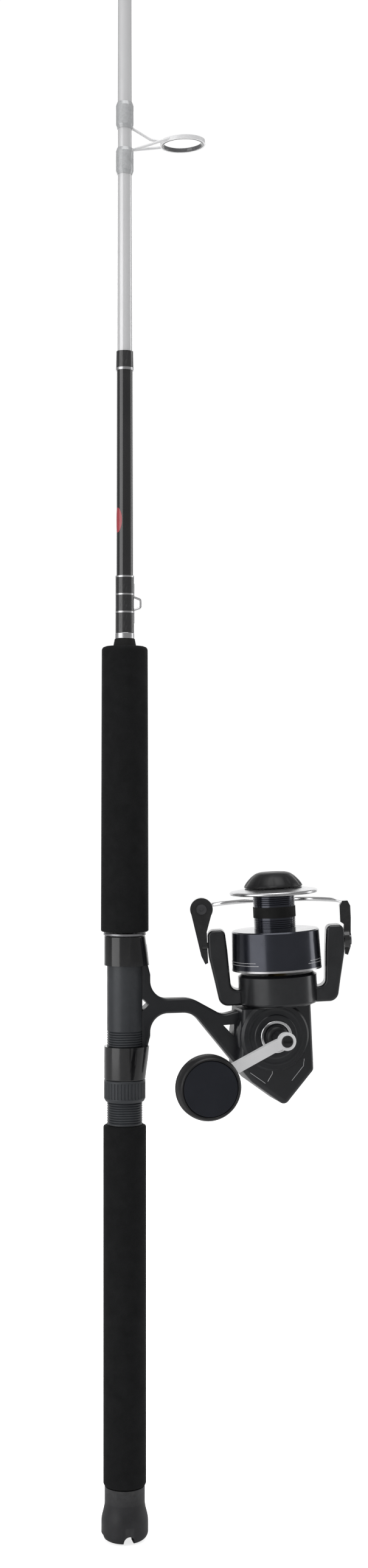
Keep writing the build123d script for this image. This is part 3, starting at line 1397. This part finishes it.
# =================================================================== SPOOL
FLANGE_THICK = 3.0
with BuildPart() as spool:
    with BuildSketch(REEL_SECTION):
        Polygon(
            (SHAFT_R + RUNNING, 76),
            (ARBOR_R - 4, 76),
            (ARBOR_R, SKIRT[1] - 6),
            (SKIRT_TOP_R - SKIRT_WALL, SKIRT[1] - FLANGE_THICK),
            (SKIRT_R - SKIRT_WALL, SKIRT[0] + 1.6),
            (SKIRT_R, SKIRT[0] + 1.6),
            (SKIRT_TOP_R, SKIRT[1] - 1.0),
            (SKIRT_TOP_R - 1.0, SKIRT[1]),
            (ARBOR_R, SKIRT[1]),
            (ARBOR_R, ARBOR_TOP),
            (LIP_SEAT_R, ARBOR_TOP),
            (LIP_SEAT_R, ARBOR_TOP + 3.4),
            (CHAMBER_R, ARBOR_TOP + 3.4),
            (CHAMBER_R, CHAMBER_LOW),
            (SHAFT_R + RUNNING, CHAMBER_LOW),
            align=None,
        )
    revolve(axis=SPOOL_AXIS)
    # fine grooves above and below the rubber band
    with BuildSketch(REEL_SECTION):
        with GridLocations(1, 1.6, 1, 5):
            for middle in (SKIRT[1] + 5.2, ARBOR_TOP - 5.2):
                with Locations((ARBOR_R, middle)):
                    Rectangle(0.5, 0.5, rotation=45)
        with Locations((ARBOR_R, (SKIRT[1] + ARBOR_TOP) / 2)):
            Rectangle(1.2, ARBOR_BAND)
    revolve(axis=SPOOL_AXIS, mode=Mode.SUBTRACT)
spool.part.label = "spool"
export_step(spool.part, "parts/spool.step")

with BuildPart() as arbor_band:
    with BuildSketch(REEL.offset((SKIRT[1] + ARBOR_TOP - ARBOR_BAND) / 2 + 0.05)):
        Circle(ARBOR_R + 0.3)
        Circle(ARBOR_R - 0.6 + 0.05, mode=Mode.SUBTRACT)
    extrude(amount=ARBOR_BAND - 0.1)
arbor_band.part.label = "arbor_band"
export_step(arbor_band.part, "parts/arbor_band.step")

with BuildPart() as spool_lip:
    with BuildSketch(REEL_SECTION):
        Polygon(
            (LIP_SEAT_R + 0.05, ARBOR_TOP + 0.05),
            (LIP_R - 0.8, ARBOR_TOP + 0.05),
            (LIP_R, ARBOR_TOP + 0.9),
            (LIP_R, ARBOR_TOP + 2.1),
            (LIP_R - 0.8, ARBOR_TOP + 2.8),
            (DRAG_KNOB_R + 1.0, KNOB_BASE - 0.6),
            (LIP_SEAT_R + 0.05, KNOB_BASE - 0.6),
            align=None,
        )
    revolve(axis=SPOOL_AXIS)
spool_lip.part.label = "spool_lip"
export_step(spool_lip.part, "parts/spool_lip.step")

with BuildPart() as skirt_ring:
    with BuildSketch(REEL_SECTION):
        Polygon(
            (SKIRT_R - SKIRT_WALL, SKIRT[0]),
            (SKIRT_R + 0.1, SKIRT[0]),
            (SKIRT_R + 0.1, SKIRT[0] + 1.55),
            (SKIRT_R - SKIRT_WALL, SKIRT[0] + 1.55),
            align=None,
        )
    revolve(axis=SPOOL_AXIS)
skirt_ring.part.label = "skirt_ring"
export_step(skirt_ring.part, "parts/skirt_ring.step")

with BuildPart() as drag_washers:
    for layer in range(WASHERS):
        with BuildSketch(REEL.offset(CHAMBER_LOW + 0.05 + 2.0 * layer)):
            Circle(CHAMBER_R - 0.3)
            Circle(SHAFT_R + 0.3, mode=Mode.SUBTRACT)
        extrude(amount=1.9)
drag_washers.part.label = "drag_washers"
export_step(drag_washers.part, "parts/drag_washers.step")

# The drag knob is a domed cap with finger flats; its boss presses on the washers.
with BuildPart() as drag_knob:
    with BuildSketch(REEL_SECTION):
        with BuildLine():
            base = Line((0, KNOB_BASE), (DRAG_KNOB_R, KNOB_BASE))
            rim = Line(base @ 1, (DRAG_KNOB_R, KNOB_BASE + 2.2))
            dome = Spline(
                rim @ 1,
                (11.0, DRAG_KNOB_TOP - 1.4),
                tangents=((-0.1, 1), (-1, 0.35)),
            )
            top = Spline(dome @ 1, (0, DRAG_KNOB_TOP), tangents=((-1, 0.35), (-1, 0)))
            Line(top @ 1, (0, KNOB_BASE))
        make_face()
    revolve(axis=SPOOL_AXIS)
    with BuildSketch(REEL.offset(KNOB_BASE + 4.5)):
        with PolarLocations(DRAG_KNOB_R + 7.0, 6):
            Circle(10.5)
    extrude(amount=12, mode=Mode.SUBTRACT)
    with BuildSketch(REEL.offset(CHAMBER_LOW + 2.0 * WASHERS + 0.5)):
        Circle(CHAMBER_R - 1.2)
    extrude(amount=KNOB_BASE - CHAMBER_LOW - 2.0 * WASHERS)
    with BuildSketch(REEL.offset(CHAMBER_LOW)):
        Circle(SHAFT_R + RUNNING)
    extrude(amount=SHAFT_TOP + 0.5 - CHAMBER_LOW, mode=Mode.SUBTRACT)
drag_knob.part.label = "drag_knob"
export_step(drag_knob.part, "parts/drag_knob.step")
